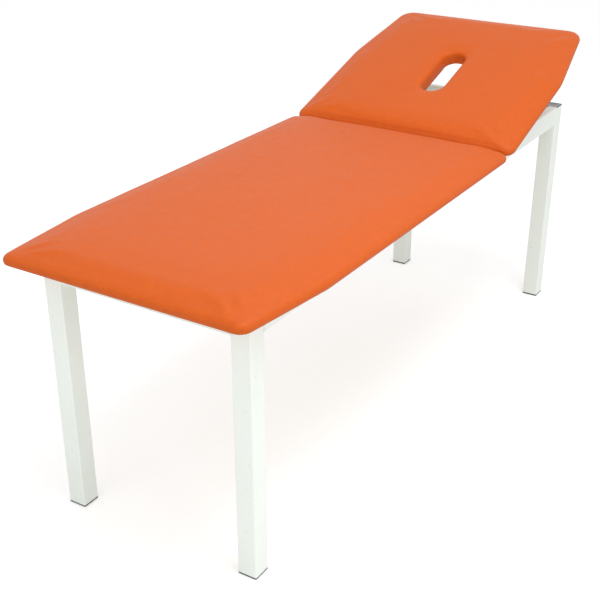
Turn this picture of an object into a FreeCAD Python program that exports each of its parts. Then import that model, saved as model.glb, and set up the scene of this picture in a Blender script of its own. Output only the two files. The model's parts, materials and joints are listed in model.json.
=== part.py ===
import FreeCAD
import Part
import Sketcher
import math
import os
import re

# Examination table: a welded steel frame carries a long upholstered section and a headrest that
# tilts on two butt hinges. A prop under the headrest stands in the notches of two rack plates.
# Lengths are in millimetres and angles in degrees. +X points to the head end and +Z up. The origin
# is on the floor, under the middle of the table's outline at the tilt that it is stored with.

# Driving sizes: name, value, meaning
SIZES = (
    ("frame_length", 1800, "frame over the legs, along X"),
    ("frame_width", 565, "frame over the legs, along Y"),
    ("frame_shift", 26.8, "middle of the frame, from the origin towards the head end"),
    ("rail_top", 675, "top of the rails above the floor"),
    ("leg_size", 50, "side of a leg's square tube"),
    ("leg_wall", 2, "wall of a leg's tube"),
    ("tube_corner", 3.5, "outer corner radius of the tubes"),
    ("rail_height", 60, "height of a rail's tube"),
    ("rail_width", 30, "width of a rail's tube"),
    ("rail_wall", 2, "wall of a rail's tube"),
    ("cross_width", 30, "width of a cross rail's tube"),
    ("cross_height", 40, "height of a cross rail's tube"),
    ("cross_wall", 2, "wall of a cross rail's tube"),
    ("foot_cross_place", 260, "middle of the foot cross rail from the foot end of the frame"),
    ("cap_flange", 3, "thickness of the cap on a leg's top"),
    ("glide_flange", 5, "thickness of the glide under a leg"),
    ("glide_chamfer", 1.5, "bevel round the bottom of a glide"),
    ("plug_depth", 20, "length of the plugs inside the legs"),
    ("plug_clearance", 0.2, "play between a plug and the tube around it"),
    ("head_run", 620, "hinge axis from the head end of the frame"),
    ("hinge_gap", 16, "gap between the two pads when the table is flat"),
    ("foot_overhang", 85, "body pad beyond the foot end of the frame"),
    ("side_overhang", 72.5, "pads beyond the sides of the frame"),
    ("pad_edge", 38, "thickness of a pad at the shoulder of its edge"),
    ("pad_crown", 4, "rise of a pad's top from the shoulder to the middle"),
    ("crown_share", 0.45, "each of a top's two rising steps, as a share of the way to the face slot"),
    ("edge_reach", 84, "width of the rounded edge, seen from above"),
    ("seam_share", 0.5, "width of the rounded edge beside the hinge, as a share of the reach"),
    ("lip_height", 7, "height of a pad's widest line"),
    ("lip_inset", 2.5, "drawing-in of the side under the widest line"),
    ("foot_corner", 28, "corner radius of the body pad at the foot end"),
    ("corner_growth", 0.9, "growth of the end corners' radii up the rounded edge, as a share of the inset"),
    ("corner_room", 0.6, "largest radius of an end corner, as a share of the narrowing length"),
    ("seam_corner", 30, "corner radius of the pads beside the hinge"),
    ("head_length", 680, "length of the headrest pad"),
    ("head_corner", 48, "corner radius of the headrest pad at the head end"),
    ("taper_length", 288, "length over which the headrest narrows"),
    ("taper_inset", 43, "narrowing of the headrest on each side"),
    ("taper_bend", 300, "radius of the bends where the pads start to narrow"),
    ("foot_taper_length", 270, "length over which the body pad narrows"),
    ("foot_taper_inset", 30, "narrowing of the body pad on each side"),
    ("cover_thickness", 1.2, "vinyl cover"),
    ("flap_width", 40, "cover folded under the board"),
    ("board_thickness", 12, "plywood board"),
    ("board_inset", 5.5, "edge of the board inside the edge of the pad"),
    ("cut_margin", 1, "how far a cut runs past a face"),
    ("soft_clearance", 0.3, "play between soft pieces and what lies beside them"),
    ("hole_span", 0.3286, "length of the face slot as a share of the headrest's length"),
    ("hole_width", 70, "width of the face slot"),
    ("hole_share", 0.4686, "middle of the face slot as a share of the headrest's length"),
    ("hole_flare", 9, "rounding of the face slot's upper rim"),
    ("hole_hem", 15, "cover folded under the board around the face slot"),
    ("rest_angle", 18, "tilt of the headrest at rest"),
    ("top_angle", 45, "largest tilt of the headrest"),
    ("step_angle", 9, "tilt from one notch of the rack to the next"),
    ("hinge_margin", 12.5, "hinge from a side rail"),
    ("pin_diameter", 5, "hinge pin"),
    ("pin_clearance", 0.05, "running play around a pin"),
    ("knuckle_wall", 1.5, "wall of a hinge knuckle around its pin"),
    ("knuckle_play", 0.3, "play between hinge knuckles"),
    ("leaf_length", 80, "length of a hinge"),
    ("leaf_width", 34, "width of a hinge leaf from the pin"),
    ("leaf_thickness", 2, "thickness of a hinge leaf"),
    ("leaf_screw", 3.6, "shank of a hinge screw"),
    ("leaf_screw_head", 7, "head of a hinge screw"),
    ("board_screw", 5, "shank of a screw through a cross rail"),
    ("board_screw_head", 12, "head of a screw through a cross rail"),
    ("board_screw_margin", 72.5, "outer board screws from a side rail"),
    ("bracket_screw", 4, "shank of a bracket screw"),
    ("bracket_screw_head", 8, "head of a bracket screw"),
    ("screw_head_height", 2, "height of a screw head"),
    ("screw_bite", 10, "depth of a screw in a board"),
    ("rack_gap", 70, "rod from a leg when the table is flat"),
    ("guide_angle", 3, "slope of the rack, falling towards the head end"),
    ("arm_margin", 102.5, "prop arm from a side rail"),
    ("arm_thickness", 5, "thickness of a prop arm"),
    ("arm_eye", 10, "radius of a prop arm's ends"),
    ("rod_diameter", 12, "cross rod of the prop"),
    ("rod_play", 0.4, "play between the rod and the rack, and at its ends"),
    ("collar_diameter", 24, "collar on the rod"),
    ("collar_width", 10, "width of a collar"),
    ("rack_thickness", 4, "thickness of a rack plate"),
    ("rack_height", 40, "height of a rack plate"),
    ("rack_margin", 22, "rack plate beyond the ends of its slot"),
    ("rack_corner", 8, "corner radius of a rack plate"),
    ("notch_depth", 5, "drop of a notch under the slot"),
    ("pivot_diameter", 8, "pivot pin of the prop"),
    ("pivot_head", 13, "head of a pivot pin"),
    ("pivot_head_height", 2.5, "height of a pivot pin's head"),
    ("ear_thickness", 3, "thickness of a bracket's ears"),
    ("ear_play", 0.5, "play between a prop arm and an ear"),
    ("ear_radius", 11, "rounding of an ear around its pin"),
    ("bracket_length", 52, "length of a bracket's base"),
    ("bracket_width", 46, "width of a bracket's base"),
    ("bracket_base", 3, "thickness of a bracket's base"),
    ("bracket_hole_margin", 8, "bracket screw from the edges of the base"),
)

# Places and sizes that follow from the driving sizes
PAD_WIDTH = "(frame_width + 2 * side_overhang)"
HOLE_LENGTH = "(head_length * hole_span)"
HOLE_CENTRE = "(hinge_gap / 2 + head_length * hole_share)"
CROWN_ROOM = f"({HOLE_CENTRE} - {HOLE_LENGTH} / 2 - hole_flare - hinge_gap / 2 - edge_reach)"
CROWN_REACH = f"({CROWN_ROOM} * crown_share)"
HINGE_OFFSET = "(frame_length / 2 - head_run)"
HINGE_Y = "(frame_width / 2 - rail_width - hinge_margin - leaf_length / 2)"
ARM_Y = "(frame_width / 2 - rail_width - arm_margin)"
BOARD_SCREW_Y = "(frame_width / 2 - rail_width - board_screw_margin)"
PROP_REACH = "((head_run - leg_size - rack_gap) / 2)"
LEG_X = "(frame_length - leg_size) / 2"
LEG_Y = "(frame_width - leg_size) / 2"
SIDE_RAIL_Y = "(frame_width - rail_width) / 2"
END_RAIL_X = "(frame_length - rail_width) / 2"
RAIL_Z = "rail_top - rail_height / 2"
INNER_WIDTH = "(frame_width - 2 * rail_width)"
PAD_BOTTOM = "(rail_top + soft_clearance)"
BOARD_BOTTOM = f"({PAD_BOTTOM} + cover_thickness)"
KNUCKLE_RADIUS = "(pin_diameter / 2 + knuckle_wall)"
HINGE_X = f"(frame_shift + {HINGE_OFFSET})"
HINGE_Z = f"({PAD_BOTTOM} - {KNUCKLE_RADIUS})"
BOARD_RISE = f"({KNUCKLE_RADIUS} + cover_thickness)"
FOOT_EDGE = f"({HINGE_OFFSET} + frame_length / 2 + foot_overhang)"
HEAD_EDGE = "(hinge_gap / 2 + head_length)"
HINGE_CROSS_X = f"({HINGE_OFFSET} - hinge_gap / 2 - flap_width - cross_width)"
FOOT_CROSS_X = "(foot_cross_place - frame_length / 2)"
TILT = "(rest_angle * 1 deg)"
PIVOT_ANGLE = "((rest_angle - guide_angle) * 1 deg)"
PROP_ANGLE = "((rest_angle + guide_angle) * 1 deg)"
PIVOT_X = f"({HINGE_X} + {PROP_REACH} * cos({PIVOT_ANGLE}))"
PIVOT_Z = f"({HINGE_Z} + {PROP_REACH} * sin({PIVOT_ANGLE}))"
PIVOT_DROP = f"({PROP_REACH} * sin(guide_angle * 1 deg))"
PIVOT_ALONG = f"({PROP_REACH} * cos(guide_angle * 1 deg))"
ROD_FAR = f"(2 * {PROP_REACH})"
ROD_NEAR = f"(2 * {PROP_REACH} * cos(top_angle * 1 deg))"
SLOT_MIDDLE = f"(({ROD_FAR} + {ROD_NEAR}) / 2)"
SLOT_HALF = f"(({ROD_FAR} - {ROD_NEAR}) / 2 + rod_play)"
SLOT_RADIUS = "(rod_diameter / 2 + rod_play)"
EAR_PLACE = "(arm_thickness / 2 + ear_play + ear_thickness / 2)"
LEAF_SCREW_X = "(leaf_width + knuckle_wall + pin_diameter) / 2"
LEAF_SCREW_STEP = "leaf_length / 3"
KNUCKLES = 5
SIDES = (("left", -1), ("right", 1))
ENDS = (("foot", -1), ("head", 1))
X_AXIS = FreeCAD.Vector(1, 0, 0)
Y_AXIS = FreeCAD.Vector(0, 1, 0)
Z_AXIS = FreeCAD.Vector(0, 0, 1)

doc = FreeCAD.newDocument("examination_table")
sheet = doc.addObject("Spreadsheet::Sheet", "Sizes")
for row, (name, number, meaning) in enumerate(SIZES, 1):
    sheet.set(f"A{row}", meaning)
    sheet.set(f"B{row}", str(number))
    sheet.setAlias(f"B{row}", name)
doc.recompute()

SIZE_NAMES = re.compile(r"\b(" + "|".join(name for name, _, _ in SIZES) + r")\b")
sub_parts = []


def rule(text):
    """A size rule as an expression, each size name pointing at its cell of the sheet."""
    return SIZE_NAMES.sub(r"Sizes.\1", text)


def value(text):
    """The number that a size rule gives now."""
    result = sheet.evalExpression(rule(text))
    return float(getattr(result, "Value", result))


def bind(piece, **rules):
    for name, text in rules.items():
        piece.setExpression(name, rule(text))


def place(piece, x="0", y="0", z="0"):
    for axis, text in (("x", x), ("y", y), ("z", z)):
        piece.setExpression(f"Placement.Base.{axis}", rule(text))


def turn(piece, axis, angle):
    piece.Placement = FreeCAD.Placement(FreeCAD.Vector(), FreeCAD.Rotation(axis, value(angle)))
    piece.setExpression("Placement.Rotation.Angle", rule(angle))


def sub_part(piece, label):
    piece.Label = label
    sub_parts.append(piece)
    return piece


def on_frame(piece, x="0", y="0", z="0"):
    """Place a piece by its distance from the middle of the frame and from the floor."""
    place(piece, f"frame_shift + {x}", y, z)


def on_hinge(piece, x="0", y="0", z="0"):
    """Place a piece by its distance from the hinge axis, level."""
    place(piece, f"{HINGE_X} + {x}", y, f"{HINGE_Z} + {z}")


def on_headrest(piece, x="0", y="0", z="0"):
    """Place a piece by its distance from the hinge axis, in the tilted headrest's own directions."""
    turn(piece, -Y_AXIS, "rest_angle")
    place(piece, f"{HINGE_X} + ({x}) * cos({TILT}) - ({z}) * sin({TILT})", y,
          f"{HINGE_Z} + ({x}) * sin({TILT}) + ({z}) * cos({TILT})")


def on_prop(piece, x="0", y="0"):
    """Place a piece along the prop, measured from its pivot."""
    turn(piece, Y_AXIS, "rest_angle + guide_angle")
    place(piece, f"{PIVOT_X} + ({x}) * cos({PROP_ANGLE})", y,
          f"{PIVOT_Z} - ({x}) * sin({PROP_ANGLE})")


# Building blocks
def box(name, x, y, z, length, width, height):
    piece = doc.addObject("Part::Box", name)
    bind(piece, Length=length, Width=width, Height=height)
    place(piece, x, y, z)
    return piece


def cylinder(name, radius, height, x="0", y="0", z="0", axis=Z_AXIS):
    """A cylinder that starts at the given point and runs along an axis."""
    piece = doc.addObject("Part::Cylinder", name)
    bind(piece, Radius=radius, Height=height)
    piece.Placement = FreeCAD.Placement(FreeCAD.Vector(), FreeCAD.Rotation(Z_AXIS, axis))
    place(piece, x, y, z)
    return piece


def fuse(name, pieces):
    result = doc.addObject("Part::MultiFuse", name)
    result.Shapes = pieces
    result.Refine = True
    return result


def cut(name, base, tools):
    result = doc.addObject("Part::Cut", name)
    result.Base = base
    result.Tool = tools[0] if len(tools) == 1 else fuse(name + "_tools", tools)
    return result


def new_sketch(body, name, role):
    sketch = body.newObject("Sketcher::SketchObject", name)
    planes = [feature for feature in body.Origin.OriginFeatures if feature.Role == role]
    sketch.AttachmentSupport = [(planes[0], "")]
    sketch.MapMode = "FlatFace"
    return sketch


def constrain(sketch, kind, *terms, size=None):
    """Add a constraint; a size rule, if given, drives its value."""
    if size is None:
        sketch.addConstraint(Sketcher.Constraint(kind, *terms))
        return
    index = sketch.addConstraint(Sketcher.Constraint(kind, *terms, value(size)))
    sketch.setExpression(f"Constraints[{index}]", rule(size))


def line(sketch, start, end):
    points = [FreeCAD.Vector(*start, 0), FreeCAD.Vector(*end, 0)]
    return sketch.addGeometry(Part.LineSegment(*points))


def arc(sketch, centre, radius, start, end):
    circle = Part.Circle(FreeCAD.Vector(*centre, 0), Z_AXIS, radius)
    return sketch.addGeometry(Part.ArcOfCircle(circle, math.radians(start), math.radians(end)))


def rounded_rectangle(sketch, width, height, corner):
    """A rectangle with round corners about the sketch's origin."""
    half_w = value(width) / 2
    half_h = value(height) / 2
    radius = value(corner)
    in_w = half_w - radius
    in_h = half_h - radius
    lines = [
        line(sketch, (-in_w, -half_h), (in_w, -half_h)),
        line(sketch, (half_w, -in_h), (half_w, in_h)),
        line(sketch, (in_w, half_h), (-in_w, half_h)),
        line(sketch, (-half_w, in_h), (-half_w, -in_h)),
    ]
    arcs = [
        arc(sketch, (in_w, -in_h), radius, 270, 360),
        arc(sketch, (in_w, in_h), radius, 0, 90),
        arc(sketch, (-in_w, in_h), radius, 90, 180),
        arc(sketch, (-in_w, -in_h), radius, 180, 270),
    ]
    for index in range(4):
        constrain(sketch, "Tangent", lines[index], 2, arcs[index], 1)
        constrain(sketch, "Tangent", arcs[index], 2, lines[(index + 1) % 4], 1)
    for index in (0, 2):
        constrain(sketch, "Horizontal", lines[index])
        constrain(sketch, "Vertical", lines[index + 1])
    for other in arcs[1:]:
        constrain(sketch, "Equal", arcs[0], other)
    constrain(sketch, "Symmetric", arcs[0], 3, arcs[2], 3, -1, 1)
    constrain(sketch, "Radius", arcs[0], size=corner)
    constrain(sketch, "DistanceX", lines[3], 1, lines[1], 1, size=width)
    constrain(sketch, "DistanceY", lines[0], 1, lines[2], 1, size=height)


def obround(sketch, start, end, radius):
    """A slot shape on the sketch's horizontal axis, between the centres of its round ends."""
    first = value(start)
    last = value(end)
    size = value(radius)
    lower = line(sketch, (first, -size), (last, -size))
    upper = line(sketch, (last, size), (first, size))
    right = arc(sketch, (last, 0), size, -90, 90)
    left = arc(sketch, (first, 0), size, 90, 270)
    constrain(sketch, "Tangent", lower, 2, right, 1)
    constrain(sketch, "Tangent", right, 2, upper, 1)
    constrain(sketch, "Tangent", upper, 2, left, 1)
    constrain(sketch, "Tangent", left, 2, lower, 1)
    constrain(sketch, "Equal", left, right)
    constrain(sketch, "Radius", left, size=radius)
    for end_arc, distance in ((left, start), (right, end)):
        constrain(sketch, "PointOnObject", end_arc, 3, -1)
        along(sketch, end_arc, distance)


def along(sketch, geometry, distance):
    """Hold a centre at a distance along the horizontal axis, on either side of the origin."""
    if abs(value(distance)) < 1e-9:
        constrain(sketch, "PointOnObject", geometry, 3, -2)
    else:
        constrain(sketch, "DistanceX", -1, 1, geometry, 3, size=distance)


def round_hole(sketch, x, radius):
    centre = FreeCAD.Vector(value(x), 0, 0)
    hole = sketch.addGeometry(Part.Circle(centre, Z_AXIS, value(radius)))
    constrain(sketch, "Radius", hole, size=radius)
    constrain(sketch, "PointOnObject", hole, 3, -1)
    along(sketch, hole, x)


def pad(body, sketch, length, side="Symmetric", reverse=False):
    feature = body.newObject("PartDesign::Pad", sketch.Name + "_pad")
    feature.Profile = sketch
    feature.SideType = side
    feature.Reversed = reverse
    bind(feature, Length=length)
    sketch.Visibility = False
    return feature


def through_pocket(body, sketch, depth):
    feature = body.newObject("PartDesign::Pocket", sketch.Name + "_pocket")
    feature.Profile = sketch
    feature.SideType = "Symmetric"
    bind(feature, Length=depth)
    return feature


def tube(name, role, width, height, wall, length, side="Symmetric"):
    """A hollow bar with round corners, its section drawn on one of its body's planes."""
    body = doc.addObject("PartDesign::Body", name)
    section = new_sketch(body, name + "_section", role)
    rounded_rectangle(section, width, height, "tube_corner")
    rounded_rectangle(section, f"{width} - 2 * {wall}", f"{height} - 2 * {wall}", "tube_corner / 2")
    pad(body, section, length, side)
    return body


def screw(name, shank, head, length):
    """A screw whose head hangs under the origin and whose shank points up."""
    parts = [
        cylinder(name + "_shank", f"{shank} / 2", length),
        cylinder(name + "_head", f"{head} / 2", "screw_head_height", z="-screw_head_height"),
    ]
    return fuse(name, parts)


def group(label, master, points):
    """Copies of one piece at several points, as separate solids under one name."""
    copies = []
    for point in points:
        copy = master.Shape.copy()
        copy.translate(FreeCAD.Vector(*[value(text) for text in point]))
        copies.append(copy)
    feature = doc.addObject("Part::Feature", label)
    feature.Shape = Part.makeCompound(copies)
    return sub_part(feature, label)


# Frame: legs, rails and cross rails
def make_legs():
    for end, x_sign in ENDS:
        for side, y_sign in SIDES:
            label = f"leg_{end}_{side}"
            leg = tube(label, "XY_Plane", "leg_size", "leg_size", "leg_wall",
                       "rail_top - cap_flange - glide_flange", "One side")
            on_frame(leg, f"{x_sign} * {LEG_X}", f"{y_sign} * {LEG_Y}", "glide_flange")
            sub_part(leg, label)


def make_rails():
    for side, sign in SIDES:
        label = f"side_rail_{side}"
        rail = tube(label, "YZ_Plane", "rail_width", "rail_height", "rail_wall",
                    "frame_length - 2 * leg_size")
        on_frame(rail, "0", f"{sign} * {SIDE_RAIL_Y}", RAIL_Z)
        sub_part(rail, label)
    for end, sign in ENDS:
        label = f"{end}_end_rail"
        rail = tube(label, "XZ_Plane", "rail_width", "rail_height", "rail_wall",
                    "frame_width - 2 * leg_size")
        on_frame(rail, f"{sign} * {END_RAIL_X}", "0", RAIL_Z)
        sub_part(rail, label)


def make_cross_rails():
    """The cross rails stand proud of the side rails, so that they carry the body board."""
    for label, x in (("foot_cross_rail", FOOT_CROSS_X), ("hinge_cross_rail", HINGE_CROSS_X)):
        bar = tube(label + "_tube", "XZ_Plane", "cross_width", "cross_height", "cross_wall", INNER_WIDTH)
        holes = []
        for index in (-1, 0, 1):
            holes.append(cylinder(f"{label}_hole_{index + 1}", "board_screw / 2 + pin_clearance",
                                  "2 * cross_height", y=f"{index} * {BOARD_SCREW_Y}",
                                  z="-cross_height"))
        rail = cut(label, bar, holes)
        on_frame(rail, x, "0", f"{BOARD_BOTTOM} - cross_height / 2")
        sub_part(rail, label)


# Plastic plugs in the leg ends
def plug(name, flange, points_up):
    """A flange as wide as the leg, with a plug that goes up or down into the tube."""
    body = doc.addObject("PartDesign::Body", name)
    outline = new_sketch(body, name + "_outline", "XY_Plane")
    rounded_rectangle(outline, "leg_size", "leg_size", "tube_corner")
    pad(body, outline, flange, "One side", points_up)
    stem = new_sketch(body, name + "_stem", "XY_Plane")
    inner = "leg_size - 2 * leg_wall - 2 * plug_clearance"
    rounded_rectangle(stem, inner, inner, "tube_corner / 2")
    pad(body, stem, "plug_depth", "One side", not points_up)
    return body


def make_plugs():
    cap = plug("leg_top_cap", "cap_flange", False)
    glide = plug("foot_glide", "glide_flange", True)
    doc.recompute()
    blank = glide.Tip
    soles = []
    for index, edge in enumerate(glide.Shape.Edges, 1):
        if edge.BoundBox.ZMax < glide.Shape.BoundBox.ZMin + 1e-6:
            soles.append(f"Edge{index}")
    bevel = glide.newObject("PartDesign::Chamfer", "glide_bevel")
    bevel.Base = (blank, soles)
    bind(bevel, Size="glide_chamfer")
    doc.recompute()
    corners = []
    for x_sign in (-1, 1):
        for y_sign in (-1, 1):
            corners.append((f"frame_shift + {x_sign} * {LEG_X}", f"{y_sign} * {LEG_Y}"))
    group("leg_top_caps", cap, [(x, y, "rail_top - cap_flange") for x, y in corners])
    group("foot_glides", glide, [(x, y, "glide_flange") for x, y in corners])


# Outlines of the two pads, seen from above, measured from the hinge axis
def rounded_outline(corners, height):
    """A closed wire of lines and arcs; corners are points with their radii, in order."""
    starts = []
    edges = []
    for index, (point, radius) in enumerate(corners):
        to_last = (corners[index - 1][0] - point).normalize()
        to_next = (corners[(index + 1) % len(corners)][0] - point).normalize()
        half_angle = to_last.getAngle(to_next) / 2
        middle = (to_last + to_next).normalize()
        run = radius / math.tan(half_angle)
        start = point + to_last * run
        end = point + to_next * run
        crest = point + middle * (radius / math.sin(half_angle) - radius)
        starts.append(start)
        edges.append((start, crest, end))
    wire = []
    for index, (start, crest, end) in enumerate(edges):
        wire.append(Part.Arc(start, crest, end).toShape())
        wire.append(Part.LineSegment(end, starts[(index + 1) % len(starts)]).toShape())
    outline = Part.Wire(wire)
    outline.translate(FreeCAD.Vector(0, 0, height))
    return outline


def end_radius(name, inset, room):
    """The radius of an end corner, which grows up the rounded edge as far as there is room."""
    grown = value(name) + value("corner_growth") * min(inset, value("edge_reach"))
    return min(grown, value("corner_room") * room)


def pad_outline(end, inset, height):
    """A pad's outline: straight beside the hinge, narrowing towards its end and drawn in all round."""
    seam = value("hinge_gap") / 2 + value("seam_share") * inset
    if end == "head":
        sign, tip, length, narrowing = 1, HEAD_EDGE, "taper_length", "taper_inset"
    else:
        sign, tip, length, narrowing = -1, FOOT_EDGE, "foot_taper_length", "foot_taper_inset"
    half = value(PAD_WIDTH) / 2 - inset
    taper = math.atan(value(f"{narrowing} / {length}"))
    bend = value(f"{tip} - {length}") - inset * math.tan(taper / 2)
    last = value(tip) - inset
    end_half = half - (last - bend) * math.tan(taper)
    shape = (
        (seam, half, value("seam_corner")),
        (bend, half, value("taper_bend")),
        (last, end_half, end_radius(f"{end}_corner", inset, last - bend)),
    )
    corners = [(FreeCAD.Vector(sign * x, -y, 0), radius) for x, y, radius in shape]
    corners += [(FreeCAD.Vector(sign * x, y, 0), radius) for x, y, radius in reversed(shape)]
    return rounded_outline(corners, height)


def body_outline(inset, height):
    return pad_outline("foot", inset, height)


def head_outline(inset, height):
    return pad_outline("head", inset, height)


def edge_profile(skin, floor):
    """Heights and insets of a pad's slices, a skin's thickness inside its surface.

    Heights count from the pad's underside. The side draws in under its widest line, and above it
    the edge is a quarter of an ellipse. The top then rises to its crown in two steps.
    """
    lip = value("lip_height")
    reach = value("edge_reach") - skin
    rise = value("pad_edge") - lip - skin
    slices = []
    first_angle = 0.0
    if floor < lip:
        slices.append((floor, skin + value("lip_inset")))
        slices.append(((floor + lip) / 2, skin + value("lip_inset") / 4))
    else:
        first_angle = math.asin((floor - lip) / rise)
    steps = 7
    for step in range(steps + 1):
        angle = first_angle + (math.pi / 2 - first_angle) * step / steps
        slices.append((lip + rise * math.sin(angle), skin + reach * (1 - math.cos(angle))))
    shoulder = value("pad_edge") - skin
    for share, count in ((0.75, 1), (1.0, 2)):
        slices.append((shoulder + share * value("pad_crown"), skin + reach + count * value(CROWN_REACH)))
    return slices


def ring(wires):
    """A flat face with holes, from its outline and the outlines of the holes."""
    return Part.makeFace(wires, "Part::FaceMakerBullseye")


def wall(wire, height):
    """Upright faces over an outline."""
    return wire.extrude(FreeCAD.Vector(0, 0, height)).Faces


def closed_solid(faces):
    """A solid from faces that meet along their edges."""
    shell = Part.makeShell(faces)
    shell.sewShape()
    solid = Part.makeSolid(shell)
    return solid if solid.Volume > 0 else solid.reversed()


def pad_sides(outline, skin, floor):
    """The faces of a pad's edge and crown, with the outlines of the flats under and on top of it."""
    base = value(KNUCKLE_RADIUS)
    wires = [outline(inset, base + height) for height, inset in edge_profile(skin, floor)]
    return Part.makeLoft(wires, False, True).Faces, wires[0], wires[-1]


def slab(outline, inset, bottom, thickness):
    """A flat plate with a pad's outline, its bottom a distance above the hinge axis."""
    face = Part.Face(outline(inset, bottom))
    return face.extrude(FreeCAD.Vector(0, 0, thickness))


# Face slot through the headrest
def slot_outline(grow, height):
    """The face slot's outline, grown all round, with its round ends as quarter arcs."""
    radius = value("hole_width") / 2
    half = value(HOLE_LENGTH) / 2 + grow
    side = radius + grow
    corners = []
    for x_sign, y_sign in ((-1, -1), (1, -1), (1, 1), (-1, 1)):
        corners.append((FreeCAD.Vector(value(HOLE_CENTRE) + x_sign * half, y_sign * side, 0), 0.999 * side))
    return rounded_outline(corners, height)


def slot_sides(skin, floor):
    """The faces of the face slot with its rounded rim, and the outlines of its two ends."""
    base = value(KNUCKLE_RADIUS)
    flare = value("hole_flare")
    top = base + value("pad_edge") + value("pad_crown")
    bend = flare - skin
    wires = [slot_outline(skin, base + floor)]
    for angle in (0, 30, 60, 90):
        turned = math.radians(angle)
        grow = skin + bend * (1 - math.cos(turned))
        wires.append(slot_outline(grow, top - flare + bend * math.sin(turned)))
    return Part.makeLoft(wires, False, True).Faces, wires[0], wires[-1]


def slot_prism(grow, bottom, thickness):
    return Part.Face(slot_outline(grow, bottom)).extrude(FreeCAD.Vector(0, 0, thickness))


# Upholstery: board, foam and cover of a pad
def screw_holes(points, radius, bottom, depth):
    holes = []
    for x, y in points:
        start = FreeCAD.Vector(value(x), value(y), bottom)
        holes.append(Part.makeCylinder(value(radius), depth, start))
    return holes


def hole_outlines(points, radius, height):
    outlines = []
    for x, y in points:
        centre = FreeCAD.Vector(value(x), value(y), height)
        outlines.append(Part.Wire(Part.makeCircle(value(radius), centre)))
    return outlines


def cover_shell(outline, slot, holes, hole_radius):
    """A cover over the pad's top and sides, folded under the board all round and at the slot."""
    skin = value("cover_thickness")
    base = value(KNUCKLE_RADIUS)
    outer, outer_bottom, outer_top = pad_sides(outline, 0.0, 0.0)
    inner, inner_bottom, inner_top = pad_sides(outline, skin, skin)
    mouth = outline(value("flap_width"), base)
    edges = [mouth] + hole_outlines(holes, hole_radius, base)
    raised = [outline(value("flap_width"), base + skin)] + hole_outlines(holes, hole_radius, base + skin)
    faces = outer + inner + [ring([outer_bottom] + edges), ring([inner_bottom] + raised)]
    outer_lids = [outer_top]
    inner_lids = [inner_top]
    if slot:
        lining, lining_bottom, lining_top = slot_sides(0.0, 0.0)
        back, back_bottom, back_top = slot_sides(skin, skin)
        hem = slot_outline(value("hole_hem"), base)
        raised_hem = slot_outline(value("hole_hem"), base + skin)
        faces += lining + back + [ring([hem, lining_bottom]), ring([raised_hem, back_bottom])]
        edges.append(hem)
        outer_lids.append(lining_top)
        inner_lids.append(back_top)
    for edge in edges:
        faces += wall(edge, skin)
    faces += [ring(outer_lids), ring(inner_lids)]
    return closed_solid(faces)


def foam_block(outline, slot):
    """Foam on the board, under the cover."""
    skin = value("cover_thickness") + value("soft_clearance")
    floor = value("cover_thickness") + value("board_thickness")
    faces, bottom, top = pad_sides(outline, skin, floor)
    bottoms = [bottom]
    tops = [top]
    if slot:
        sides, slot_bottom, slot_top = slot_sides(skin, floor)
        faces += sides
        bottoms.append(slot_bottom)
        tops.append(slot_top)
    return closed_solid(faces + [ring(bottoms), ring(tops)])


def board_panel(outline, slot):
    bottom = value(BOARD_RISE)
    panel = slab(outline, value("board_inset"), bottom, value("board_thickness"))
    if slot:
        grow = value("cover_thickness") + value("soft_clearance")
        margin = value("cut_margin")
        panel = panel.cut(slot_prism(grow, bottom - margin, value("board_thickness") + 2 * margin))
    return panel


def upholstery(name, outline, slot, place_on, flap_points, board_points):
    """Board, foam and cover of one pad, with the holes for its screws."""
    shapes = {
        "board": board_panel(outline, slot),
        "foam": foam_block(outline, slot),
        "cover": cover_shell(outline, slot, flap_points, "leaf_screw / 2 + pin_clearance"),
    }
    bottom = value(BOARD_RISE)
    margin = value("cut_margin")
    depth = value("screw_bite") + value("pin_clearance") + margin
    leaf_hole = "leaf_screw / 2 + pin_clearance"
    shapes["board"] = shapes["board"].cut(screw_holes(flap_points, leaf_hole, bottom - margin, depth))
    for shank, points in board_points:
        holes = screw_holes(points, f"{shank} / 2 + pin_clearance", bottom - margin, depth)
        shapes["board"] = shapes["board"].cut(holes)
    for material, shape in shapes.items():
        label = f"{name}_{material}"
        piece = doc.addObject("Part::Feature", label)
        piece.Shape = shape
        place_on(piece)
        sub_part(piece, label)


def leaf_screw_points(sign):
    """Places of the hinge screws in one pad, from the hinge axis."""
    points = []
    for _, side in SIDES:
        for index in (-1, 0, 1):
            y = f"{side} * {HINGE_Y} + {index} * {LEAF_SCREW_STEP}"
            points.append((f"{sign} * {LEAF_SCREW_X}", y))
    return points


def board_screw_points():
    points = []
    for x in (FOOT_CROSS_X, HINGE_CROSS_X):
        for index in (-1, 0, 1):
            points.append((f"{x} - {HINGE_OFFSET}", f"{index} * {BOARD_SCREW_Y}"))
    return points


def bracket_screw_points():
    points = []
    for _, side in SIDES:
        for x_sign in (-1, 1):
            for y_sign in (-1, 1):
                x = f"{PIVOT_ALONG} + {x_sign} * (bracket_length / 2 - bracket_hole_margin)"
                y = f"{side} * {ARM_Y} + {y_sign} * (bracket_width / 2 - bracket_hole_margin)"
                points.append((x, y))
    return points


def make_pads():
    upholstery("body", body_outline, False, on_hinge, leaf_screw_points(-1),
               [("board_screw", board_screw_points())])
    upholstery("head", head_outline, True, on_headrest, leaf_screw_points(1),
               [("bracket_screw", bracket_screw_points())])


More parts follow.
